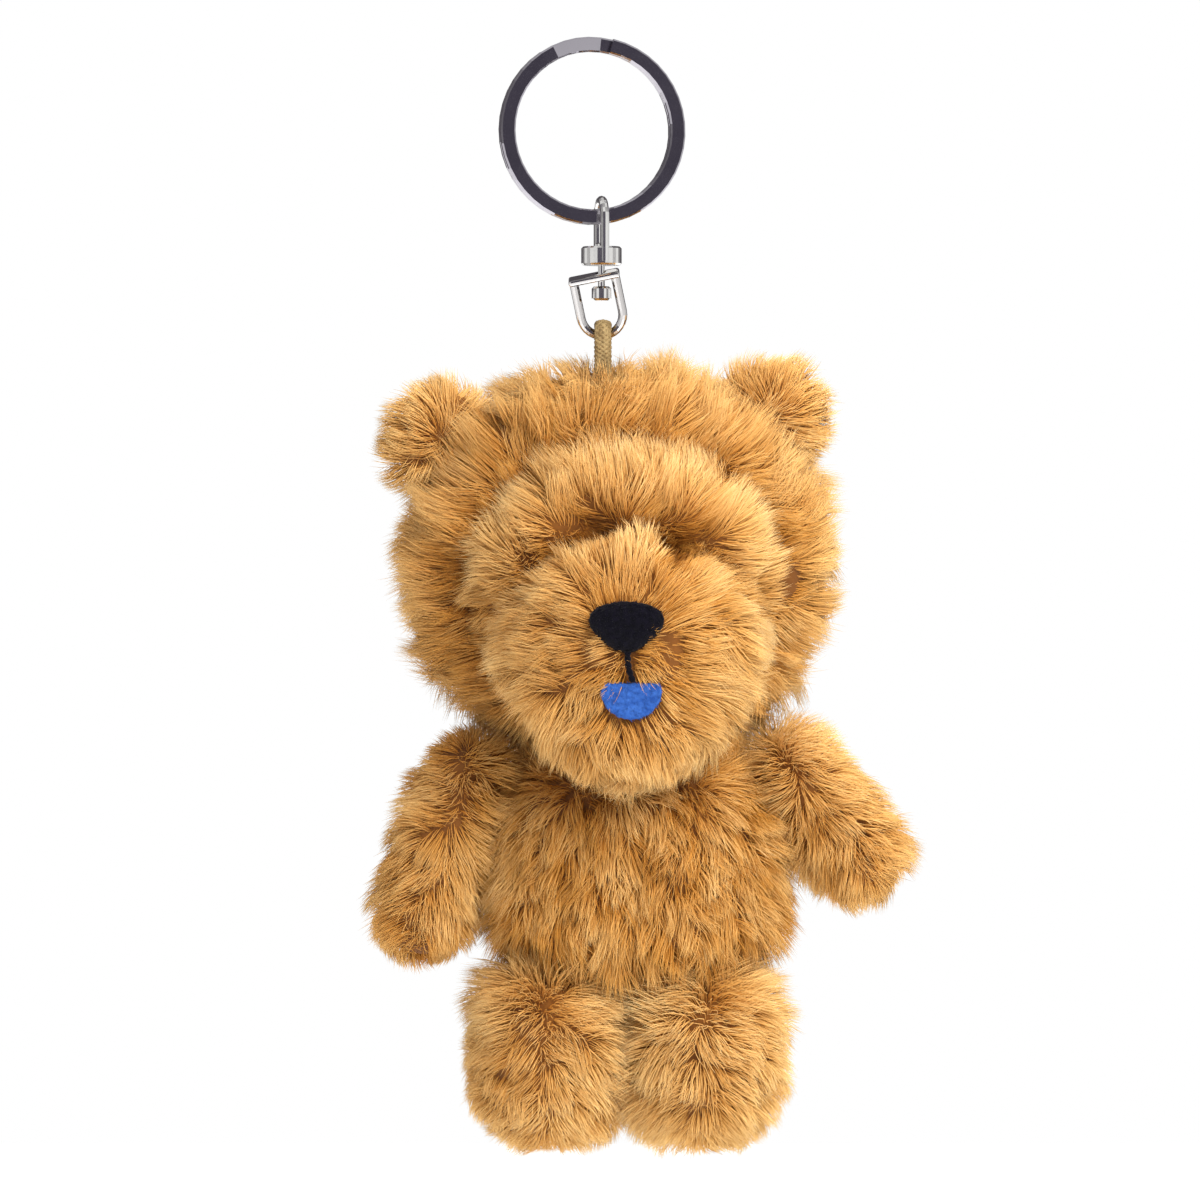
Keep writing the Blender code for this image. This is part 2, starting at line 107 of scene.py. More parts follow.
def choose(tree, share, a, b):
    """A colour between a and b, each a colour or an output."""
    made = node(tree, "ShaderNodeMix", data_type="RGBA")
    tree.links.new(share, made.inputs["Factor"])
    for socket, value in (("A", a), ("B", b)):
        if isinstance(value, tuple):
            made.inputs[socket].default_value = (*value, 1)
        else:
            tree.links.new(value, made.inputs[socket])
    return made.outputs["Result"]


def noise(tree, scale, detail=3.0, stretch=None):
    place = node(tree, "ShaderNodeTexCoord").outputs["Object"]
    if stretch:
        mapping = node(tree, "ShaderNodeMapping", {"Scale": stretch})
        tree.links.new(place, mapping.inputs["Vector"])
        place = mapping.outputs["Vector"]
    made = node(tree, "ShaderNodeTexNoise", {"Scale": scale, "Detail": detail})
    tree.links.new(place, made.inputs["Vector"])
    return made.outputs["Fac"]


def rescaled(tree, value, low, high, to_low=0.0, to_high=1.0):
    """The value, with low to high stretched over to_low to to_high."""
    limits = {"From Min": low, "From Max": high, "To Min": to_low, "To Max": to_high}
    made = node(tree, "ShaderNodeMapRange", limits)
    tree.links.new(value, made.inputs["Value"])
    return made.outputs["Result"]


def bump(tree, shader, height, strength, distance):
    """Relief from the height; the distance is in metres."""
    made = node(tree, "ShaderNodeBump", {"Strength": strength, "Distance": distance})
    tree.links.new(height, made.inputs["Height"])
    tree.links.new(made.outputs["Normal"], shader.inputs["Normal"])


# Painted shade: the deep ramp darkens the pile in its valleys and hollows, and in the darkest
# tufts.
DEEP_PILE = [
    (0.0, (0.110, 0.034, 0.004)),
    (1.0, (0.300, 0.105, 0.014)),
]
# Each ramp runs from root to tip; the darker roots are partly the fibres' own colour and partly
# painted shade deep in the pile.
DARK_PILE = [
    (0.0, (0.26, 0.088, 0.010)),
    (0.35, (0.40, 0.152, 0.020)),
    (0.75, (0.48, 0.210, 0.036)),
    (1.0, (0.55, 0.265, 0.055)),
]
PALE_PILE = [
    (0.0, (0.46, 0.210, 0.045)),
    (0.35, (0.70, 0.405, 0.125)),
    (0.75, (0.84, 0.555, 0.225)),
    (1.0, (0.90, 0.675, 0.345)),
]
PILE_ROUGHNESS = 0.8
STRAND_MAP = "OFBake"  # across: the strand's shade, up: the way from its root to its tip
DEEP_SHARE = 0.2  # the part of the map's width that runs from the deep shade to the dark one


def pile_material():
    """Colour by shade and by the way along the strand."""
    made, tree, shader = material("pile", PILE_ROUGHNESS)
    place = node(tree, "ShaderNodeUVMap", uv_map=STRAND_MAP)
    split = node(tree, "ShaderNodeSeparateXYZ")
    tree.links.new(place.outputs["UV"], split.inputs["Vector"])
    deep, dark, pale = (
        ramp(tree, split.outputs["Y"], stops) for stops in (DEEP_PILE, DARK_PILE, PALE_PILE)
    )
    shade = split.outputs["X"]
    lower = choose(tree, rescaled(tree, shade, 0.0, DEEP_SHARE), deep, dark)
    colour = choose(tree, rescaled(tree, shade, DEEP_SHARE, 1.0), lower, pale)
    tree.links.new(colour, shader.inputs["Base Color"])
    shader.inputs["Specular IOR Level"].default_value = 0.08
    shader.inputs["Sheen Weight"].default_value = 0.10
    shader.inputs["Sheen Tint"].default_value = (1.0, 0.80, 0.52, 1)
    return made


def backing_material():
    """The knitted ground that the pile stands on, darker than its own colour with painted shade
    for the pile's foot.
    """
    made, tree, shader = material("pile_ground", 0.95)
    shade = noise(tree, 260, 4)
    # dark brown: painted shade where the ground shows between the strands
    colour = ramp(tree, shade, [(0.3, (0.10, 0.034, 0.006)), (0.7, (0.18, 0.065, 0.011))])
    tree.links.new(colour, shader.inputs["Base Color"])
    bump(tree, shader, noise(tree, 1800, 2), 0.5, 0.0003)
    return made


def metal_material(name, colour, roughness, grain):
    """Plated metal, with a slightly uneven tint and polish."""
    made, tree, shader = material(name, roughness, 1.0)
    tint = noise(tree, 180, 3)
    darker = tuple(part * 0.88 for part in colour)
    tree.links.new(ramp(tree, tint, [(0.3, darker), (0.7, colour)]), shader.inputs["Base Color"])
    wear = noise(tree, 900, 4)
    polish = rescaled(tree, wear, 0.0, 1.0, roughness * 0.6, roughness * 1.6)
    tree.links.new(polish, shader.inputs["Roughness"])
    bump(tree, shader, noise(tree, 2600, 2), grain, 0.00004)
    return made


def felt_material(name, dark, light):
    """Pressed fibres between a dark and a light colour."""
    made, tree, shader = material(name, 0.95)
    fibres = noise(tree, 1500, 5)
    tree.links.new(ramp(tree, fibres, [(0.3, dark), (0.72, light)]), shader.inputs["Base Color"])
    bump(tree, shader, noise(tree, 3200, 4), 0.7, 0.0002)
    shader.inputs["Specular IOR Level"].default_value = 0.15
    shader.inputs["Sheen Weight"].default_value = 0.04
    return made


def cord_material():
    made, tree, shader = material("cord_yarn", 0.8)
    yarn = noise(tree, 1400, 4, (1, 1, 0.35))
    stops = [(0.3, (0.13, 0.080, 0.030)), (0.7, (0.31, 0.215, 0.095))]
    tree.links.new(ramp(tree, yarn, stops), shader.inputs["Base Color"])
    bump(tree, shader, noise(tree, 4200, 3), 0.6, 0.0001)
    return made


# ---------------------------------------------------------------- pieces

def add_piece(name, mesh, finish, body, slot_name, *nodes):
    """A visible piece that rides on a body, and stands in for the nodes if there are any."""
    mesh.materials.clear()
    mesh.materials.append(finish)
    piece = bpy.data.objects.new(name, mesh)
    bpy.context.scene.collection.objects.link(piece)
    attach(piece, body)
    if nodes:
        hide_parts(*nodes)
    return piece


def vectors_of(mesh, attribute):
    """One vector of each point of the mesh, such as its place in metres or its normal."""
    values = np.empty(len(mesh.vertices) * 3)
    mesh.vertices.foreach_get(attribute, values)
    return values.reshape(-1, 3)


def move_points(mesh, places):
    """Puts the mesh's points at places given in metres."""
    mesh.vertices.foreach_set("co", places.ravel())
    mesh.update()


def push_out(mesh, distances):
    """Moves each point along its normal, in millimetres."""
    shift = vectors_of(mesh, "normal") * (distances * MM)[:, None]
    move_points(mesh, vectors_of(mesh, "co") + shift)


def merged_mesh(name, nodes, swell):
    """The nodes' meshes in one, with each face moved out a little so that they meet."""
    bm = bmesh.new()
    for source in nodes:
        bm.from_mesh(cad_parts[source].data)
    bmesh.ops.remove_doubles(bm, verts=bm.verts, dist=1e-6)
    bmesh.ops.recalc_face_normals(bm, faces=bm.faces[:])
    bm.normal_update()
    for vert in bm.verts:
        vert.co += vert.normal * swell * MM
    mesh = bpy.data.meshes.new(name)
    bm.to_mesh(mesh)
    bm.free()
    return mesh


def remeshed(name, mesh, voxel, smoothing, inset=0.0):
    """One even closed skin over everything in the mesh, drawn in by the inset."""
    item = bpy.data.objects.new(name, mesh)
    bpy.context.scene.collection.objects.link(item)
    remesh = item.modifiers.new("remesh", "REMESH")
    remesh.mode = "VOXEL"
    remesh.voxel_size = voxel * MM
    soften = item.modifiers.new("soften", "SMOOTH")
    soften.factor = 0.5
    soften.iterations = smoothing
    bpy.context.view_layer.update()
    depsgraph = bpy.context.evaluated_depsgraph_get()
    made = bpy.data.meshes.new_from_object(item.evaluated_get(depsgraph))
    bpy.data.objects.remove(item)
    bpy.data.meshes.remove(mesh)
    made.name = name
    made.shade_smooth()
    if inset:
        push_out(made, np.full(len(made.vertices), -inset))
    return made


SKIN_SWELL = 0.4  # closes the slits between panels
SKIN_VOXEL = 0.8
SKIN_SMOOTHING = 8


def skin(name, nodes, body, inset=0.3, relief=None):
    """The padded form of one body under its pile, whose depth it leaves room for."""
    panels = merged_mesh(name, nodes, SKIN_SWELL)
    mesh = remeshed(name, panels, SKIN_VOXEL, SKIN_SMOOTHING, inset)
    if relief:
        push_out(mesh, relief(vectors_of(mesh, "co") / MM))
    piece = add_piece(name, mesh, backing, body, "golden_pile", *nodes)
    return piece


# ---------------------------------------------------------------- pile

DENSITY = 10.0  # strands per square millimetre
STRAND_WIDTH = ((0.10, 0.15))
SIDES = 3
ALONG = (0.0, 0.36, 0.70, 1.0)  # the way along a strand of its three rings and its tip
TAPER = (1.0, 0.95, 0.62)  # each ring's share of the strand's width
TIP = SIDES * len(TAPER)  # the tip's place among a strand's points
STRAND_POINTS = TIP + 1
SIDE_SHADE = 0.012  # how far a strand's sides differ in shade
ROOT_DEPTH = 0.35
GATHER = (0.10, 0.45, 0.85)  # how far a tuft draws its strands together, along the strand
CLUMP_JITTER = 0.35
WAVE_TURN = 6.28
GROUND_NORMAL = 0.45  # how much a strand takes the light as its ground does, against 1


def wobble(points, scale, seed):
    """A smooth value from about -1 to 1 at each point, that repeats nowhere nearby."""
    draw = np.random.default_rng(seed)
    total = np.zeros(len(points))
    for _ in range(5):
        wave = draw.normal(size=3)
        wave /= np.linalg.norm(wave)
        stretch = draw.uniform(0.6, 1.6)
        phase = draw.uniform(0, WAVE_TURN)
        total += np.sin(points @ wave * stretch / scale * WAVE_TURN + phase)
    return total / 2.6


def unit(vectors):
    return vectors / np.maximum(np.linalg.norm(vectors, axis=-1, keepdims=True), 1e-9)


def scatter(mesh, density, rng):
    """Random roots on a skin in millimetres, with their normals: density per square millimetre."""
    mesh.calc_loop_triangles()
    corners = vectors_of(mesh, "co") / MM
    normals = vectors_of(mesh, "normal")
    triangles = np.empty(len(mesh.loop_triangles) * 3, dtype=np.int32)
    mesh.loop_triangles.foreach_get("vertices", triangles)
    triangles = triangles.reshape(-1, 3)
    a, b, c = (corners[triangles[:, i]] for i in range(3))
    area = np.linalg.norm(np.cross(b - a, c - a), axis=1) / 2
    count = int(area.sum() * density)
    picked = rng.choice(len(area), size=count, p=area / area.sum())
    s, t = rng.random(count), rng.random(count)
    over = s + t > 1
    s[over], t[over] = 1 - s[over], 1 - t[over]
    s, t = s[:, None], t[:, None]
    roots = a[picked] * (1 - s - t) + b[picked] * s + c[picked] * t
    na, nb, nc = (normals[triangles[picked, i]] for i in range(3))
    return roots, unit(na * (1 - s - t) + nb * s + nc * t)


def clump_index(roots, size, rng):
    """For each root, the index of the root that its tuft gathers round."""
    count = max(1, int(len(roots) / size))
    centres = rng.choice(len(roots), size=count, replace=False)
    tree = KDTree(count)
    for place, index in enumerate(centres):
        tree.insert(roots[index], place)
    tree.balance()
    jitter = roots + rng.normal(scale=CLUMP_JITTER, size=roots.shape)
    return centres[[tree.find(point)[1] for point in jitter]]


def strand_mesh(name, spine, width, shade, ground=None):
    """Closed three-sided tapering spikes along the spines (count, 4, 3), in millimetres.

    With the ground's normals given, the spikes take the light mostly as the ground would.
    """
    count = len(spine)
    along = unit(spine[:, 3] - spine[:, 0])
    across = unit(np.cross(along, np.array([0.31, 0.87, 0.38])))
    third = np.cross(along, across)
    verts = np.empty((count, STRAND_POINTS, 3))
    for ring, share in enumerate(TAPER):
        for side in range(SIDES):
            angle = 2 * math.pi * side / SIDES
            offset = across * math.cos(angle) + third * math.sin(angle)
            verts[:, ring * SIDES + side] = spine[:, ring] + offset * (width * share / 2)[:, None]
    verts[:, TIP] = spine[:, 3]
    faces = [(2, 1, 0)]
    for ring in range(len(TAPER)):
        for side in range(SIDES):
            low, following = ring * SIDES, (side + 1) % SIDES
            if ring + 1 < len(TAPER):
                high = low + SIDES
                faces.append((low + side, low + following, high + following, high + side))
            else:
                faces.append((low + side, low + following, TIP))
    pattern = np.array([index for face in faces for index in face])
    sizes = np.array([len(face) for face in faces])
    loops = (pattern[None, :] + STRAND_POINTS * np.arange(count)[:, None]).ravel()
    totals = np.tile(sizes, count)
    starts = np.concatenate(([0], np.cumsum(totals)[:-1]))
    mesh = bpy.data.meshes.new(name)
    mesh.vertices.add(count * STRAND_POINTS)
    mesh.vertices.foreach_set("co", (verts * MM).ravel())
    mesh.loops.add(len(loops))
    mesh.loops.foreach_set("vertex_index", loops.astype(np.int32))
    mesh.polygons.add(len(totals))
    mesh.polygons.foreach_set("loop_start", starts.astype(np.int32))
    mesh.polygons.foreach_set("loop_total", totals.astype(np.int32))
    mesh.update(calc_edges=True)
    mesh.shade_smooth()
    side_shift = np.where(pattern < TIP, (pattern % SIDES - 1) * SIDE_SHADE, 0.0)
    height = np.array(ALONG)[pattern // SIDES]
    uv = np.empty((count, len(pattern), 2))
    across_map = np.clip(DEEP_SHARE + (1 - DEEP_SHARE) * shade, 0.02, 0.98)
    uv[:, :, 0] = across_map[:, None] + side_shift
    uv[:, :, 1] = np.clip(height, 0.01, 0.99)
    layer = mesh.uv_layers.new(name=STRAND_MAP)
    layer.data.foreach_set("uv", uv.ravel())
    if ground is not None:
        middles = np.repeat(spine[:, :3], SIDES, axis=1)
        middles = np.concatenate([middles, spine[:, 3:] - along[:, None]], axis=1)
        own = unit(verts - middles)
        soft = unit(own + ground[:, None, :] * GROUND_NORMAL)
        mesh.normals_split_custom_set_from_vertices(soft.reshape(-1, 3))
    return mesh


def grow(source, style, rng, tuft):
    """The strands of one skin: their spines, widths, shades and the ground's normals.

    The style says how the pile lies at each root: the share of strands kept, the way they are
    combed, how far they lean that way, their length, and their shade from dark to pale.
    """
    roots, normals = scatter(source, DENSITY, rng)
    lie = style(roots)
    picked = rng.random(len(roots)) < lie.keep
    roots, normals, comb = roots[picked], normals[picked], lie.comb[picked]
    lean, length, shade = lie.lean[picked], lie.length[picked], lie.shade[picked]
    comb = unit(comb - normals * np.sum(comb * normals, axis=1, keepdims=True))
    centre = clump_index(roots, tuft * DENSITY, rng)
    stray = rng.normal(scale=1.0, size=roots.shape)
    turn = rng.normal(scale=0.20, size=roots.shape)[centre]
    lean = lean + rng.normal(scale=0.07, size=len(roots))[centre]
    lean_root = np.clip(lean - 0.12, 0, 1)[:, None]
    lean_tip = np.clip(lean + 0.18, 0, 1)[:, None]
    first = unit(normals * (1 - lean_root) + comb * lean_root + turn + stray * 0.05)
    last = unit(normals * (1 - lean_tip) + comb * lean_tip + turn + stray * 0.08)
    length = length * (1 + 0.05 * rng.normal(size=len(roots))[centre])
    length = length * rng.uniform(0.76, 1.04, len(roots))
    third = length[:, None] / 3
    base = roots - normals * ROOT_DEPTH
    one = base + first * third
    two = one + unit(first + last) * third
    tip = two + last * third
    gather = rng.uniform(0.05, 0.48, len(roots))[:, None]
    gathered = [
        place + (place[centre] - place) * gather * share
        for place, share in zip((one, two, tip), GATHER)
    ]
    spine = np.stack([base, *gathered], axis=1)
    tuft_shade = rng.normal(scale=0.08, size=len(roots))[centre]
    shade = shade + tuft_shade + rng.normal(scale=0.08, size=len(roots))
    width = rng.uniform(*STRAND_WIDTH, len(roots))
    return spine, width, shade, normals


def box_centre(*nodes):
    """The middle and the half sizes of the box round some nodes, in millimetres."""
    corners = np.array([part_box(item) for item in nodes]) / MM
    low, high = corners[:, 0].min(axis=0), corners[:, 1].max(axis=0)
    return (low + high) / 2, (high - low) / 2


HEAD_NODES = ("head_front", "head_back_left", "head_back_right", "face_panel", "muzzle_panel")
HEAD_MIDDLE, HEAD_HALF = box_centre("head_front", "head_back_left", "head_back_right")
FACE_MIDDLE, FACE_HALF = box_centre("face_panel")
MUZZLE_MIDDLE, MUZZLE_HALF = box_centre("muzzle_panel")
NOSE_MIDDLE, NOSE_HALF = box_centre("nose")
TONGUE_MIDDLE, TONGUE_HALF = box_centre("tongue")
NECK_Z = (HEAD_MIDDLE - HEAD_HALF)[2]
MOUTH = np.array([NOSE_MIDDLE[0], 0, NOSE_MIDDLE[2] - 3.0])  # the muzzle's pile runs out from it
THREAD_X = NOSE_MIDDLE[0] + 0.4
HOLLOWS = ((0.6, -63.2), (11.0, -67.2))  # deep hollows under the brow, darkened with painted shade, across and up
LOCK = (6.2, -67.0)  # a longer lock between them
NOSE_MARGIN = -1.8  # how far the bare patch under the nose goes past the nose's edge
TONGUE_MARGIN = -0.4
CROWN_RADIUS = 7  # the short pile round the cord


def radial(points, centre):
    """Away from an axis that runs front to back through the centre."""
    away = points - centre
    away[:, 1] = 0
    return away


def inside(points, middle, half, grow_by):
    """Whether each point is in the round shape, made larger all round, seen from the front."""
    flat = (points - middle)[:, [0, 2]] / (half[[0, 2]] + grow_by)
    return np.linalg.norm(flat, axis=1) < 1


def rim_share(points, middle, half):
    """0 at the middle of a round panel, 1 at its rim, seen from the front."""
    return np.linalg.norm((points - middle)[:, [0, 2]] / half[[0, 2]], axis=1)


def bell(value, middle, width):
    """1 at the middle, falling away smoothly on both sides."""
    return np.exp(-(((value - middle) / width) ** 2))


def step(value, low, high):
    """0 below low, 1 above high, smooth between."""
    share = np.clip((value - low) / (high - low), 0, 1)
    return share * share * (3 - 2 * share)


def above_muzzle(points):
    return step(points[:, 2], MUZZLE_MIDDLE[2] - 6, MUZZLE_MIDDLE[2] + 4)


def head_relief(points):
    """How far the head's skin stands out, which deepens the steps between its layers."""
    face_share = rim_share(points, FACE_MIDDLE, FACE_HALF)
    muzzle_share = rim_share(points, MUZZLE_MIDDLE, MUZZLE_HALF)
    ahead = step(-points[:, 1], -HEAD_MIDDLE[1], -HEAD_MIDDLE[1] + 6)
    above = above_muzzle(points)
    relief = above * (bell(face_share, 0.86, 0.12) - 2.2 * bell(face_share, 1.16, 0.12))
    relief += bell(muzzle_share, 0.84, 0.14) - 2.4 * bell(muzzle_share, 1.16, 0.12) * above
    for x, z in HOLLOWS:
        relief -= 2.4 * bell(np.hypot((points[:, 0] - x) / 1.2, points[:, 2] - z), 0.0, 2.4)
    aside, up = points[:, 0] - MOUTH[0], points[:, 2] - MOUTH[2]
    seat = 1.8 * (1 - step(np.hypot(aside, up * 0.85), 8, 13))  # meets the nose and tongue
    neck = 1.8 * step(-points[:, 2], -NECK_Z - 6, -NECK_Z)
    return (relief + seat) * ahead + neck


def mane(points):
    """The head's outer pile, which fans out from the face and falls at the back."""
    away = radial(points, np.array([FACE_MIDDLE[0], 0, FACE_MIDDLE[2] - 2.0]))
    back = step(points[:, 1], HEAD_MIDDLE[1] - 5, HEAD_MIDDLE[1] + 9)[:, None]
    comb = unit(away)
    comb[:, 0] += 0.22 * wobble(points, 13, 3) + 0.20 * wobble(points, 4.5, 33)
    comb[:, 2] += 0.22 * wobble(points, 14, 4) + 0.20 * wobble(points, 4.5, 34) - 0.12
    comb[:, 1] += 0.20
    falling = unit(comb) * 0.6 + np.array([0, 0.1, -0.9])
    jaw = step(-points[:, 2], -HEAD_MIDDLE[2] + 8, -HEAD_MIDDLE[2] + 17)
    jaw *= step(np.abs(points[:, 0] - HEAD_MIDDLE[0]), 6, 14)
    # paler towards the head's outline: painted rim light
    rim = step(rim_share(points, HEAD_MIDDLE, HEAD_HALF), 0.78, 1.0)
    return SimpleNamespace(
        keep=np.ones(len(points)),
        comb=unit(comb) * (1 - back) + falling * back,
        lean=0.56 + 0.07 * wobble(points, 9, 5),
        length=7.4 + 3.0 * jaw,
        shade=0.36 + 0.10 * wobble(points, 12, 6) + 0.20 * rim,
    )


def lay_face(points, lie, on_muzzle):
    """The inner face: shorter pile, with painted light on its rim and painted shade in the valley
    on both sides of it.
    """
    ahead = points[:, 1] < HEAD_MIDDLE[1]
    above = above_muzzle(points)
    face_share = rim_share(points, FACE_MIDDLE, FACE_HALF)
    muzzle_share = rim_share(points, MUZZLE_MIDDLE, MUZZLE_HALF)
    on_face = ahead & (face_share < 1.02) & ~on_muzzle

    # painted shade in the valley just outside the face's rim
    valley = bell(face_share, 1.16, 0.12) * ahead * ~on_muzzle
    lie.shade -= 0.30 * valley
    lie.length *= 1 - 0.30 * valley
    lie.lean += 0.10 * valley

    # the face's rim is paler: painted light on the raised rim
    rim = on_face * step(face_share, 0.62, 0.95) * above
    lie.length[on_face] = 5.4
    lie.length += 1.4 * rim
    lie.lean -= 0.08 * rim
    lie.shade += 0.22 * rim

    # painted shade in the valley round the muzzle's upper rim
    valley = bell(muzzle_share, 1.18, 0.13) * on_face * above
    lie.shade -= 0.36 * valley
    lie.length *= 1 - 0.50 * valley


def lay_muzzle(points, lie, on_muzzle):
    """The muzzle: pile that runs out from the mouth and leaves the felt and thread clear."""
    spread = radial(points, MOUTH)
    far = np.linalg.norm(spread[:, [0, 2]], axis=1)
    outward = np.clip((far - 4) / 9, 0, 1)
    lie.comb[on_muzzle] = unit(spread[on_muzzle]) + 0.55 * lie.comb[on_muzzle]
    aside = points[:, 0] - THREAD_X
    beside_thread = bell(aside, 0.0, 5.0) * bell(points[:, 2], MOUTH[2] - 2.5, 3.0)
    lie.comb[:, 0] += np.sign(aside) * beside_thread * on_muzzle
    lie.lean[on_muzzle] = (0.66 - 0.06 * outward)[on_muzzle]
    upward = step(points[:, 2], NOSE_MIDDLE[2] + 2, NOSE_MIDDLE[2] + 9)
    downward = step(-points[:, 2], -MUZZLE_MIDDLE[2] + 6, -MUZZLE_MIDDLE[2] + 13)
    growth = 1.8 - 1.6 * upward - 1.4 * downward + wobble(points, 3.0, 36)
    lie.length[on_muzzle] = (4.3 + growth * outward)[on_muzzle]
    # paler towards the muzzle's edge: painted light on its raised rim
    edge = step(rim_share(points, MUZZLE_MIDDLE, MUZZLE_HALF), 0.55, 1.0)
    lie.shade[on_muzzle] = (0.30 + 0.10 * wobble(points, 7, 8) + 0.14 * edge)[on_muzzle]

    for middle, half, margin in (
        (NOSE_MIDDLE, NOSE_HALF, NOSE_MARGIN),
        (TONGUE_MIDDLE, TONGUE_HALF, TONGUE_MARGIN),
    ):
        lie.keep[on_muzzle & inside(points, middle, half, margin)] = 0
        # painted shade on the pile just round the nose and the tongue
        lie.shade -= 0.08 * (on_muzzle & inside(points, middle, half, 1.6))
    between = (points[:, 2] < NOSE_MIDDLE[2]) & (points[:, 2] > TONGUE_MIDDLE[2])
    lie.keep[on_muzzle & between & (np.abs(aside) < 0.3)] = 0


def lay_brow(points, lie):
    """Two hollows under the brow, darkened with painted shade, with a pale lock between them."""
    ahead = points[:, 1] < HEAD_MIDDLE[1]
    reach = points + unit(lie.comb) * (lie.lean * lie.length * 0.6)[:, None]
    for x, z in HOLLOWS:
        gap = np.hypot((reach[:, 0] - x) / 1.2, reach[:, 2] - z)
        hollow = bell(gap, 0.0, 2.1) * ahead
        lie.length *= 1 - 0.50 * hollow
        # the hollows' darkness is painted shade
        lie.shade -= 0.95 * hollow
    x, z = LOCK
    lock = bell(np.hypot(points[:, 0] - x, (points[:, 2] - z) / 1.8), 0.0, 2.0) * ahead
    lie.shade += 0.35 * lock
    lie.length += 2.0 * lock


def lay_crown(points, lie):
    """Short pile on top that lies away from the cord."""
    cord_middle, _ = box_centre("cord_loop")
    gap = np.hypot(points[:, 0] - cord_middle[0], points[:, 1] - cord_middle[1])
    crown = (points[:, 2] > HEAD_MIDDLE[2]) & (gap < CROWN_RADIUS)
    lie.length[crown] *= (0.45 + 0.55 * gap / CROWN_RADIUS)[crown]
    outward = points - cord_middle
    outward[:, 2] = 0
    lie.comb[crown] = unit(outward[crown]) + 0.4 * lie.comb[crown]
    lie.lean[crown] = 0.75


def head_style(points):
    """Mane, inner face and muzzle: one coat with three layers of pile."""
    muzzle_share = rim_share(points, MUZZLE_MIDDLE, MUZZLE_HALF)
    on_muzzle = (muzzle_share < 1.06) & (points[:, 1] < MUZZLE_MIDDLE[1] + 4.5)
    lie = mane(points)
    lay_face(points, lie, on_muzzle)
    lay_muzzle(points, lie, on_muzzle)
    # paler towards the right: painted light from the right side
    lie.shade += 0.003 * (points[:, 0] - HEAD_MIDDLE[0])
    lay_brow(points, lie)
    lay_crown(points, lie)
    return lie


def torso_relief(points):
    """The shoulders stand up a little towards the head."""
    high = points[:, 2].max()
    return 1.2 * step(points[:, 2], high - 5, high)


def torso_style(points):
    """Pile brushed down, in short tufts."""
    comb = np.tile(np.array([0.0, 0.0, -1.0]), (len(points), 1))
    comb[:, 0] += 0.28 * wobble(points, 9, 11) + 0.35 * wobble(points, 4, 41)
    comb[:, 1] += 0.15 * wobble(points, 9, 12)
    low, high = points[:, 2].min(), points[:, 2].max()
    near_top = step(points[:, 2], high - 7, high - 1)
    near_bottom = step(-points[:, 2], -low - 6, -low - 1)
    middle = (points[:, 0].min() + points[:, 0].max()) / 2
    half = (points[:, 0].max() - points[:, 0].min()) / 2
    beside = step(np.abs(points[:, 0] - middle) / half, 0.75, 0.95)
    comb[:, 2] += 1.5 * near_top
    lean = 0.58 + 0.10 * wobble(points, 4, 13) - 0.35 * near_top - 0.20 * beside
    lean = lean - 0.15 * near_bottom * beside
    length = 5.2 + 0.8 * wobble(points, 4, 14) + 2.6 * near_top + 3.4 * near_bottom + 1.6 * beside
    shade = 0.20 + 0.14 * wobble(points, 7, 15)
    return SimpleNamespace(keep=1, comb=comb, lean=lean, length=length, shade=shade)


def limb_style(middle, slope, down, seed, pile_length, top_growth, bottom_loss, pale, inward):
    """Pile that parts at a seam down the front and runs on towards the limb's end.

    The seam slopes across per millimetre up. The pile grows at the limb's top and loses at its
    bottom, and is longer on the side of the neighbour that it closes up to: 1 is the right.
    """
    def style(points):
        low, high = points[:, 2].min(), points[:, 2].max()
        near_top = step(points[:, 2], high - 7, high - 1)
        near_bottom = step(-points[:, 2], -low - 6, -low - 1)
        aside = points[:, 0] - (middle[0] + slope * (points[:, 2] - middle[2]))
        comb = np.zeros_like(points)
        comb[:, 0] = np.clip(aside / 2.0, -1, 1) * 0.6 + 0.3 * wobble(points, 8, seed)
        comb[:, 2] = -0.35 + 0.3 * wobble(points, 8, seed + 1)
        comb += np.array(down) * 0.6 + unit(points - middle) * 0.6
        comb[:, 1] += 0.25
        parting = bell(aside, 0.0, 1.4) * (points[:, 1] < middle[1])
        towards = step((points[:, 0] - middle[0]) * inward, 2.0, 6.0)
        lean = 0.50 + 0.08 * wobble(points, 6, seed + 2) - 0.10 * parting
        lean = lean - 0.10 * near_top - 0.15 * towards
        length = pile_length + 0.5 * wobble(points, 7, seed + 3) + top_growth * near_top
        length += 1.4 * towards - bottom_loss * near_bottom
        length *= 1 - 0.12 * parting
        shade = pale + 0.14 * wobble(points, 8, seed + 4) - 0.05 * parting
        shade += 0.014 * np.abs(aside)
        return SimpleNamespace(keep=1, comb=comb, lean=lean, length=length, shade=shade)
    return style


def ear_style(middle, seed):
    """Pile that fans out from the head, palest at the ear's edge with painted rim light."""
    def style(points):
        away = radial(points, middle)
        out = np.linalg.norm(away[:, [0, 2]], axis=1)
        outward = unit(np.array([middle[0] - HEAD_MIDDLE[0], 0, middle[2] - HEAD_MIDDLE[2]]))
        comb = unit(away) * 0.8 + outward * 0.6
        comb[:, 0] += 0.25 * wobble(points, 6, seed)
        comb[:, 2] += 0.25 * wobble(points, 6, seed + 1) - 0.25
        lean = np.full(len(points), 0.55)
        length = 4.6 + 0.5 * wobble(points, 6, seed + 2)
        # paler towards the ear's edge: painted rim light
        shade = 0.26 + 0.055 * out
        return SimpleNamespace(keep=1, comb=comb, lean=lean, length=length, shade=shade)
    return style


STRANDS_IN_PIECE = 12000


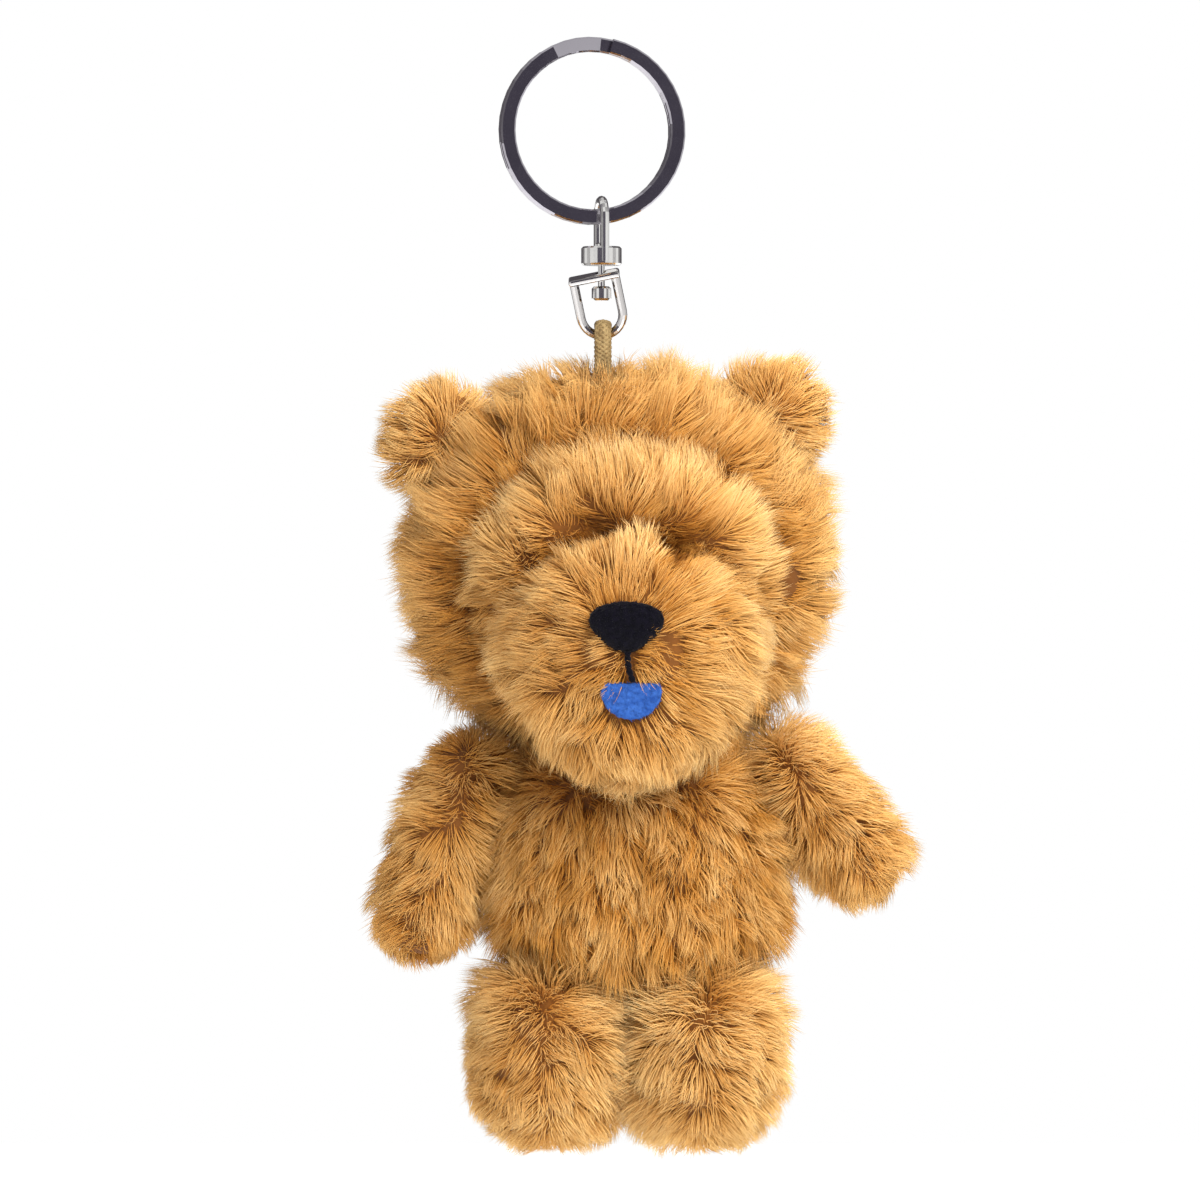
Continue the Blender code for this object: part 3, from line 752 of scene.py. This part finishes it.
def coat(name, source, body, style, seed, tuft=6.0):
    """Grows the pile of a skin and puts it on as pieces of a handy size, front to back.

    The tuft is the ground that one tuft stands on, in square millimetres.
    """
    rng = np.random.default_rng(SEED + seed)
    spine, width, shade, ground = grow(source.data, style, rng, tuft)
    order = np.argsort(spine[:, 0, 1])
    pieces = math.ceil(len(spine) / STRANDS_IN_PIECE)
    for number, chosen in enumerate(np.array_split(order, pieces), start=1):
        label = f"{name}_{number}"
        mesh = strand_mesh(label, spine[chosen], width[chosen], shade[chosen], ground[chosen])
        add_piece(label, mesh, pile, body, "golden_pile")


# ---------------------------------------------------------------- cord

CORD_FLATNESS = 0.6  # the cord's thickness against its width
STRANDS_APART = 0.12  # from the middle plane to each side of the loop, where it closes
LOOP_CLOSED = 5.2  # how far below its fold the loop's sides meet
LOOP_HALF_OPEN = 2.2
BRAID_YARNS = 6
BRAID_PITCH = 3.6
BRAID_SINK = 0.12  # how far the yarns lie within the cord's own outline
BRAID_LIFT = 0.09
YARN_RADIUS = 0.30
KNOT_RADIUS = 0.75
KNOT_REACH_LOSS = 0.8  # keeps the knot within its node's box


def cord_route():
    """The middle line of the cord loop, side to side in Y, in millimetres, and its half sizes."""
    low, high = (np.array(corner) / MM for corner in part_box("cord_loop"))
    half_width = (high[0] - low[0]) / 2
    half_thick = half_width * CORD_FLATNESS
    x, y = (low[0] + high[0]) / 2, (low[1] + high[1]) / 2
    fold = (high[1] - low[1]) / 2 - half_thick
    pivot = high[2] - fold - half_thick
    close_by = half_thick + STRANDS_APART
    down = [
        (close_by, low[2]),
        (close_by, pivot - LOOP_CLOSED),
        ((close_by + fold) / 2, pivot - LOOP_HALF_OPEN),
    ]
    over = [
        (fold * math.cos(math.radians(a)), pivot + fold * math.sin(math.radians(a)))
        for a in range(0, 181, 15)
    ]
    route = [*down, *over, *[(-side, z) for side, z in reversed(down)]]
    return np.array([(x, y + side, z) for side, z in route]), half_width, half_thick


def even_route(route, steps):
    """The route as evenly spaced points."""
    gaps = np.concatenate(([0], np.cumsum(np.linalg.norm(np.diff(route, axis=0), axis=1))))
    wanted = np.linspace(0, gaps[-1], steps)
    return np.stack([np.interp(wanted, gaps, route[:, i]) for i in range(3)], axis=1), gaps[-1]


def tube(bm, line, radius, sides=6):
    """A closed round tube along a line of points, in millimetres."""
    along = unit(np.gradient(line, axis=0))
    across = unit(np.cross(along, np.array([0.13, 0.9, 0.4])))
    third = np.cross(along, across)
    rings = []
    for point, a, b in zip(line, across, third):
        ring = []
        for side in range(sides):
            angle = 2 * math.pi * side / sides
            place = point + radius * (a * math.cos(angle) + b * math.sin(angle))
            ring.append(bm.verts.new(place * MM))
        rings.append(ring)
    for low, high in zip(rings, rings[1:]):
        for side in range(sides):
            following = (side + 1) % sides
            bm.faces.new((low[side], low[following], high[following], high[side]))
    bm.faces.new(list(reversed(rings[0])))
    bm.faces.new(rings[-1])


def finished_mesh(name, bm):
    bmesh.ops.recalc_face_normals(bm, faces=bm.faces[:])
    mesh = bpy.data.meshes.new(name)
    bm.to_mesh(mesh)
    bm.free()
    mesh.shade_smooth()
    return mesh


def braided_cord():
    """Yarns that run round the flat cord both ways, over and under each other."""
    route, half_width, half_thick = cord_route()
    line, length = even_route(route, 150)
    along = unit(np.gradient(line, axis=0))
    wide = np.array([1.0, 0.0, 0.0])
    thin = np.cross(along, wide)
    travel = np.linspace(0, length, len(line))
    bm = bmesh.new()
    for way in (-1, 1):
        for yarn in range(BRAID_YARNS):
            phase = 2 * math.pi * yarn / BRAID_YARNS
            angle = way * 2 * math.pi * travel / BRAID_PITCH + phase
            lift = BRAID_LIFT * way * np.cos(BRAID_YARNS * 2 * math.pi * travel / BRAID_PITCH)
            a = half_width - YARN_RADIUS - BRAID_SINK + lift
            b = half_thick - YARN_RADIUS - BRAID_SINK + lift
            sideways = (a * np.cos(angle))[:, None] * wide
            upright = (b * np.sin(angle))[:, None] * thin
            tube(bm, line + sideways + upright, YARN_RADIUS)
    tube(bm, line, half_thick * 0.6)
    mesh = finished_mesh("cord_braid", bm)
    add_piece("cord_braid", mesh, cord_yarn, "cord", "braided_cord", "cord_loop")


def crown_knot():
    """The cord's end tied in an overhand knot, inside the head."""
    middle, half = box_centre("cord_knot")
    reach = half - KNOT_REACH_LOSS
    turns = np.linspace(0, 2 * math.pi, 90)
    pinch = 0.7 + 0.3 * np.cos(3 * turns)
    line = np.stack(
        [
            middle[0] + reach[0] * np.sin(turns + 0.3) * pinch,
            middle[1] + reach[1] * np.cos(turns) * pinch,
            middle[2] + reach[2] * np.sin(3 * turns),
        ],
        axis=1,
    )
    bm = bmesh.new()
    tube(bm, line, KNOT_RADIUS, 10)
    mesh = finished_mesh("crown_knot", bm)
    add_piece("crown_knot", mesh, cord_yarn, "head", "braided_cord", "cord_knot")


# ---------------------------------------------------------------- felt features

FIBRE_WIDTH = 0.07


def fuzz(name, mesh, density, length, seed):
    """Very short loose fibres all over a felt piece."""
    rng = np.random.default_rng(SEED + seed)
    roots, normals = scatter(mesh, density, rng)
    sizes = length * rng.uniform(0.4, 1.3, len(roots))[:, None] / 3
    stray = rng.normal(size=roots.shape)
    first = unit(normals + stray * 0.6)
    last = unit(normals * 0.4 + stray)
    base = roots - normals * 0.1
    one = base + first * sizes
    two = one + unit(first + last) * sizes
    spine = np.stack([base, one, two, two + last * sizes], axis=1)
    width = np.full(len(roots), FIBRE_WIDTH)
    return strand_mesh(name, spine, width, rng.uniform(0, 1, len(roots)))


def felt_feature(name, source, finish, slot_name, voxel, swell, density, fibre, seed, trim=0.0):
    """A felt piece with an uneven face and loose fibres; the trim evens off its top edge."""
    mesh = remeshed(name, merged_mesh(name, [source], swell), voxel, 4)
    places = vectors_of(mesh, "co") / MM
    edge = places[:, 2].max() - trim
    over = places[:, 2] > edge
    places[over, 2] = edge + (places[over, 2] - edge) * 0.15
    move_points(mesh, places * MM)
    push_out(mesh, wobble(places, 1.3, seed) * 0.07 + wobble(places, 0.6, seed + 1) * 0.04)
    add_piece(name, mesh, finish, "head", slot_name, source)
    fibres = fuzz(f"{name}_fibres", mesh, density, fibre, seed)
    add_piece(f"{name}_fibres", fibres, finish, "head", slot_name)


THREAD_RADIUS = 0.25
THREAD_TWIST = 14  # radians from the nose to the tongue
THREAD_POINTS = 60


def mouth_thread():
    """Two plies twisted together, from under the nose to the tongue, with a slight bow."""
    low, high = (np.array(corner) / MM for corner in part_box("mouth_stitch"))
    share = np.linspace(0, 1, THREAD_POINTS)
    front = low[1] - 0.6
    start = np.array([low[0] + 0.35, front, high[2] + 0.6])
    end = np.array([high[0] - 0.35, front, low[2] - 0.4])
    line = start + (end - start) * share[:, None]
    line[:, 0] -= 0.25 * np.sin(math.pi * share)
    level = np.zeros(THREAD_POINTS)
    bm = bmesh.new()
    for ply in (0, math.pi):
        angle = share * THREAD_TWIST + ply
        offset = np.stack([np.cos(angle), np.sin(angle), level], axis=1) * THREAD_RADIUS * 0.8
        tube(bm, line + offset, THREAD_RADIUS, 8)
    mesh = finished_mesh("mouth_thread", bm)
    add_piece("mouth_thread", mesh, black, "head", "black_felt", "mouth_stitch")


# ---------------------------------------------------------------- stage

LIGHT_AIM = (0, 0, -0.08)  # metres
LIGHT_SIZE = 0.5
FLOOR_HEIGHT = -0.45


def add_light(name, place, power):
    """A square lamp that metal doesn't mirror."""
    data = bpy.data.lights.new(name, "AREA")
    data.size = LIGHT_SIZE
    data.energy = power
    light = bpy.data.objects.new(name, data)
    light.location = place
    direction = Vector(LIGHT_AIM) - Vector(place)
    light.rotation_euler = direction.to_track_quat("-Z", "Y").to_euler()
    light.visible_glossy = False
    bpy.context.scene.collection.objects.link(light)


SOFT_LIGHT = 0.60  # the studio's light from all round
GLOSS_BANDS = [  # what metal sees, from straight ahead round to straight behind
    (0.0, (0.10, 0.09, 0.12)),
    (0.155, (0.13, 0.12, 0.15)),
    (0.19, (1.0, 1.0, 1.0)),
    (0.34, (0.95, 0.95, 0.95)),
    (0.38, (0.28, 0.27, 0.28)),
    (0.42, (0.28, 0.27, 0.28)),
    (0.46, (0.95, 0.95, 0.95)),
    (0.62, (0.90, 0.90, 0.90)),
    (0.70, (0.10, 0.09, 0.10)),
    (0.90, (0.10, 0.09, 0.10)),
    (1.0, (0.45, 0.45, 0.45)),
]


def calculate(tree, operation, *values):
    """The result of one operation on numbers or outputs."""
    made = node(tree, "ShaderNodeMath", operation=operation)
    for place, value in enumerate(values):
        if isinstance(value, (int, float)):
            made.inputs[place].default_value = value
        else:
            tree.links.new(value, made.inputs[place])
    return made.outputs["Value"]


def add_world():
    """White to the camera, soft light all round, and bands of light and dark for the metal."""
    world = bpy.data.worlds.new("studio")
    bpy.context.scene.world = world
    world.use_nodes = True
    tree = world.node_tree
    place = node(tree, "ShaderNodeTexCoord").outputs["Generated"]
    split = node(tree, "ShaderNodeSeparateXYZ")
    tree.links.new(place, split.inputs["Vector"])
    turn = calculate(tree, "ARCCOSINE", calculate(tree, "MULTIPLY", split.outputs["Y"], -1.0))
    bands = ramp(tree, calculate(tree, "DIVIDE", turn, math.pi), GLOSS_BANDS)
    path = node(tree, "ShaderNodeLightPath")
    soft = choose(tree, path.outputs["Is Glossy Ray"], (SOFT_LIGHT,) * 3, bands)
    seen = choose(tree, path.outputs["Is Camera Ray"], soft, (1.0, 1.0, 1.0))
    tree.links.new(seen, tree.nodes["Background"].inputs["Color"])


def add_floor():
    """A plain white floor well below the toy, as bright as the background."""
    bm = bmesh.new()
    bmesh.ops.create_grid(bm, x_segments=4, y_segments=4, size=4)
    mesh = finished_mesh("floor", bm)
    made, _, shader = material("floor", 0.9)
    shader.inputs["Base Color"].default_value = (0.85, 0.85, 0.85, 1)
    shader.inputs["Emission Color"].default_value = (1, 1, 1, 1)
    shader.inputs["Emission Strength"].default_value = 0.6
    mesh.materials.append(made)
    floor = bpy.data.objects.new("floor", mesh)
    floor.location.z = FLOOR_HEIGHT
    bpy.context.scene.collection.objects.link(floor)


# ---------------------------------------------------------------- the toy

add_camera()
bpy.context.scene.view_settings.view_transform = "Standard"

pile = pile_material()
backing = backing_material()
steel = metal_material("smoked_steel", (0.40, 0.38, 0.42), 0.10, 0.10)
nickel = metal_material("bright_nickel", (0.80, 0.79, 0.77), 0.12, 0.10)
# A darker copy of the bright nickel for the shackle: painted shade for its darker reflections.
nickel_painted_darker = metal_material("shaded_nickel", (0.60, 0.58, 0.57), 0.10, 0.10)
cord_yarn = cord_material()
black = felt_material("black_felt", (0.0009, 0.0008, 0.0020), (0.0028, 0.0022, 0.0058))
blue = felt_material("blue_felt", (0.012, 0.048, 0.21), (0.032, 0.100, 0.34))

for name, finish in (
    ("split_ring", steel),
    ("swivel_bow", nickel),
    ("swivel_pin", nickel),
    ("shackle", nickel_painted_darker),
):
    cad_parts[name].data.materials.clear()
    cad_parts[name].data.materials.append(finish)

braided_cord()
crown_knot()

head_skin = skin("head_skin", [*HEAD_NODES, "head_fill"], "head", 1.5, head_relief)
coat("head_pile", head_skin, "head", head_style, 1)

for side in ("left", "right"):
    nodes = [f"{side}_ear_front", f"{side}_ear_back"]
    ear = skin(f"{side}_ear_skin", nodes, "head")
    middle, _ = box_centre(*nodes)
    seed = 20 if side == "left" else 30
    coat(f"{side}_ear_pile", ear, "head", ear_style(middle, seed), seed)

torso_nodes = ["torso_front", "torso_back_left", "torso_back_right", "torso_fill"]
torso_skin = skin("torso_skin", torso_nodes, "torso", relief=torso_relief)
coat("torso_pile", torso_skin, "torso", torso_style, 2, tuft=4.0)

# pale: each limb's shade; the right arm and leg are 0.08 paler than the left ones, painted light
# from the right side
LIMBS = {
    "left_arm": dict(
        slope=0.25, down=(-0.35, 0, -0.94), seed=40, inward=1,
        pile_length=5.0, top_growth=-1.8, bottom_loss=1.5, pale=0.26,
    ),
    "right_arm": dict(
        slope=-0.75, down=(0.67, 0, -0.74), seed=50, inward=-1,
        pile_length=5.2, top_growth=-0.6, bottom_loss=0.6, pale=0.34,
    ),
    "left_leg": dict(
        slope=0.0, down=(0, 0, -1.0), seed=60, inward=1,
        pile_length=3.9, top_growth=3.4, bottom_loss=0.1, pale=0.38,
    ),
    "right_leg": dict(
        slope=0.05, down=(0, 0, -1.0), seed=70, inward=-1,
        pile_length=4.7, top_growth=3.2, bottom_loss=0.2, pale=0.46,
    ),
}
for name, pile_lie in LIMBS.items():
    nodes = [f"{name}_outer", f"{name}_inner", f"{name}_fill"]
    limb_skin = skin(f"{name}_skin", nodes, name)
    middle, _ = box_centre(*nodes)
    coat(f"{name}_pile", limb_skin, name, limb_style(middle, **pile_lie), pile_lie["seed"])

felt_feature(
    "nose_pad", "nose", black, "black_felt",
    voxel=0.16, swell=0.0, density=14, fibre=0.5, seed=80,
)
felt_feature(
    "tongue_felt", "tongue", blue, "blue_felt",
    voxel=0.14, swell=0.1, density=12, fibre=0.45, seed=90, trim=0.65,
)
mouth_thread()

add_world()
add_floor()
add_light("key", (0.40, -0.72, 0.40), 14)
add_light("fill", (-0.55, -0.75, 0.1), 1.5)
add_light("top", (0.1, -0.05, 0.7), 4)
